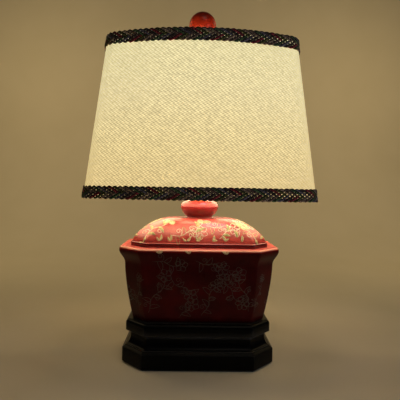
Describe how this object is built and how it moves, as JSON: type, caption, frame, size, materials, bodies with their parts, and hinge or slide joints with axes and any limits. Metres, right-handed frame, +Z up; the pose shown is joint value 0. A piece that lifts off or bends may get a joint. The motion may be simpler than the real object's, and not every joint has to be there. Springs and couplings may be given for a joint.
{
  "type": "table lamp",
  "caption": "Lidded cut-corner porcelain jar lamp on a black stepped plinth, with a harp, a bowed rectangular tapered fabric shade with braided edges and a ball finial.",
  "frame": {"origin": "middle of the underside of the felt pad, on the surface the lamp stands on", "axes": "+Z up, +X to the viewer's right, the long front face looks along -Y"},
  "size_m": [0.3704, 0.2164, 0.5607],
  "materials": {
    "porcelain": "deep red glaze",
    "black_wood": "black lacquer, satin",
    "felt": "pressed felt",
    "grommet_rubber": "matte",
    "zinc_steel": "bright zinc",
    "brass": "polished",
    "harp_brass": "plated wire",
    "cushion_rubber": "matte",
    "phenolic": "moulded phenolic",
    "fibre_sleeve": "pressed fibre",
    "liner_aluminium": "drawn",
    "bulb_glass": "frosted",
    "bulb_cap_metal": "drawn",
    "bulb_black_glass": "vitrite insulator",
    "stem_glass": "clear",
    "filament": "glowing",
    "linen": "coarse basket weave",
    "liner_film": "translucent laminate",
    "braid": "plaited cord trim",
    "ring_paint": "white coated wire",
    "ball_glaze": "plain red glaze"
  },
  "bodies": {
    "lamp_base": {"felt_pad": "felt", "plinth_base": "black_wood", "plinth_top": "black_wood", "plinth_screws": "zinc_steel", "cord_grommet": "grommet_rubber", "jar": "porcelain", "lid": "porcelain", "threaded_pipe": "zinc_steel", "bottom_washer": "zinc_steel", "bottom_nut": "zinc_steel", "knob_cushion": "cushion_rubber", "check_ring": "brass", "top_lock_nut": "zinc_steel", "neck": "brass", "harp_saddle": "brass", "socket_cap": "brass", "cap_set_screw": "zinc_steel", "socket_shell": "brass", "shell_insulator": "fibre_sleeve", "socket_body": "phenolic", "terminal_screws": "brass", "screw_shell": "liner_aluminium", "centre_contact": "brass"},
    "harp": {"harp_loop": "harp_brass", "harp_seat": "brass"},
    "ferrule_left": {"harp_ferrule_left": "brass"},
    "ferrule_right": {"harp_ferrule_right": "brass"},
    "shade": {"shade_fabric": "linen", "shade_liner": "liner_film", "braid_bottom": "braid", "braid_top": "braid", "shade_bottom_ring": "ring_paint", "shade_frame": "ring_paint"},
    "finial": {"finial_base": "brass", "finial_ball": "ball_glaze"},
    "bulb": {"bulb_glass": "bulb_glass", "bulb_cap": "bulb_cap_metal", "bulb_insulator": "bulb_black_glass", "bulb_contact": "zinc_steel", "bulb_stem": "stem_glass", "bulb_filament": "filament"},
    "switch_key": {"switch_shaft": "brass", "switch_knob": "phenolic"}
  },
  "joints": [
    {"name": "switch_turn", "type": "hinge", "parent": "lamp_base", "child": "switch_key", "pos_m": [0, -0.02, 0.28698], "axis": [0, -1, 0], "continuous": true},
    {"name": "bulb_turn", "type": "hinge", "parent": "lamp_base", "child": "bulb", "pos_m": [0, 0, 0.31], "axis": [0, 0, 1], "continuous": true},
    {"name": "harp_lift", "type": "slide", "parent": "lamp_base", "child": "harp", "axis": [0, 0, 1], "range_m": [0, 0.025]},
    {"name": "ferrule_left_slide", "type": "slide", "parent": "harp", "child": "ferrule_left", "axis": [0, 0, 1], "range_m": [0, 0.012]},
    {"name": "ferrule_right_slide", "type": "slide", "parent": "harp", "child": "ferrule_right", "axis": [0, 0, 1], "range_m": [0, 0.012]},
    {"name": "shade_swivel", "type": "hinge", "parent": "harp", "child": "shade", "pos_m": [0, 0, 0.4861], "axis": [0, 0, 1], "continuous": true},
    {"name": "finial_turn", "type": "hinge", "parent": "harp", "child": "finial", "pos_m": [0, 0, 0.495], "axis": [0, 0, 1], "continuous": true}
  ]
}
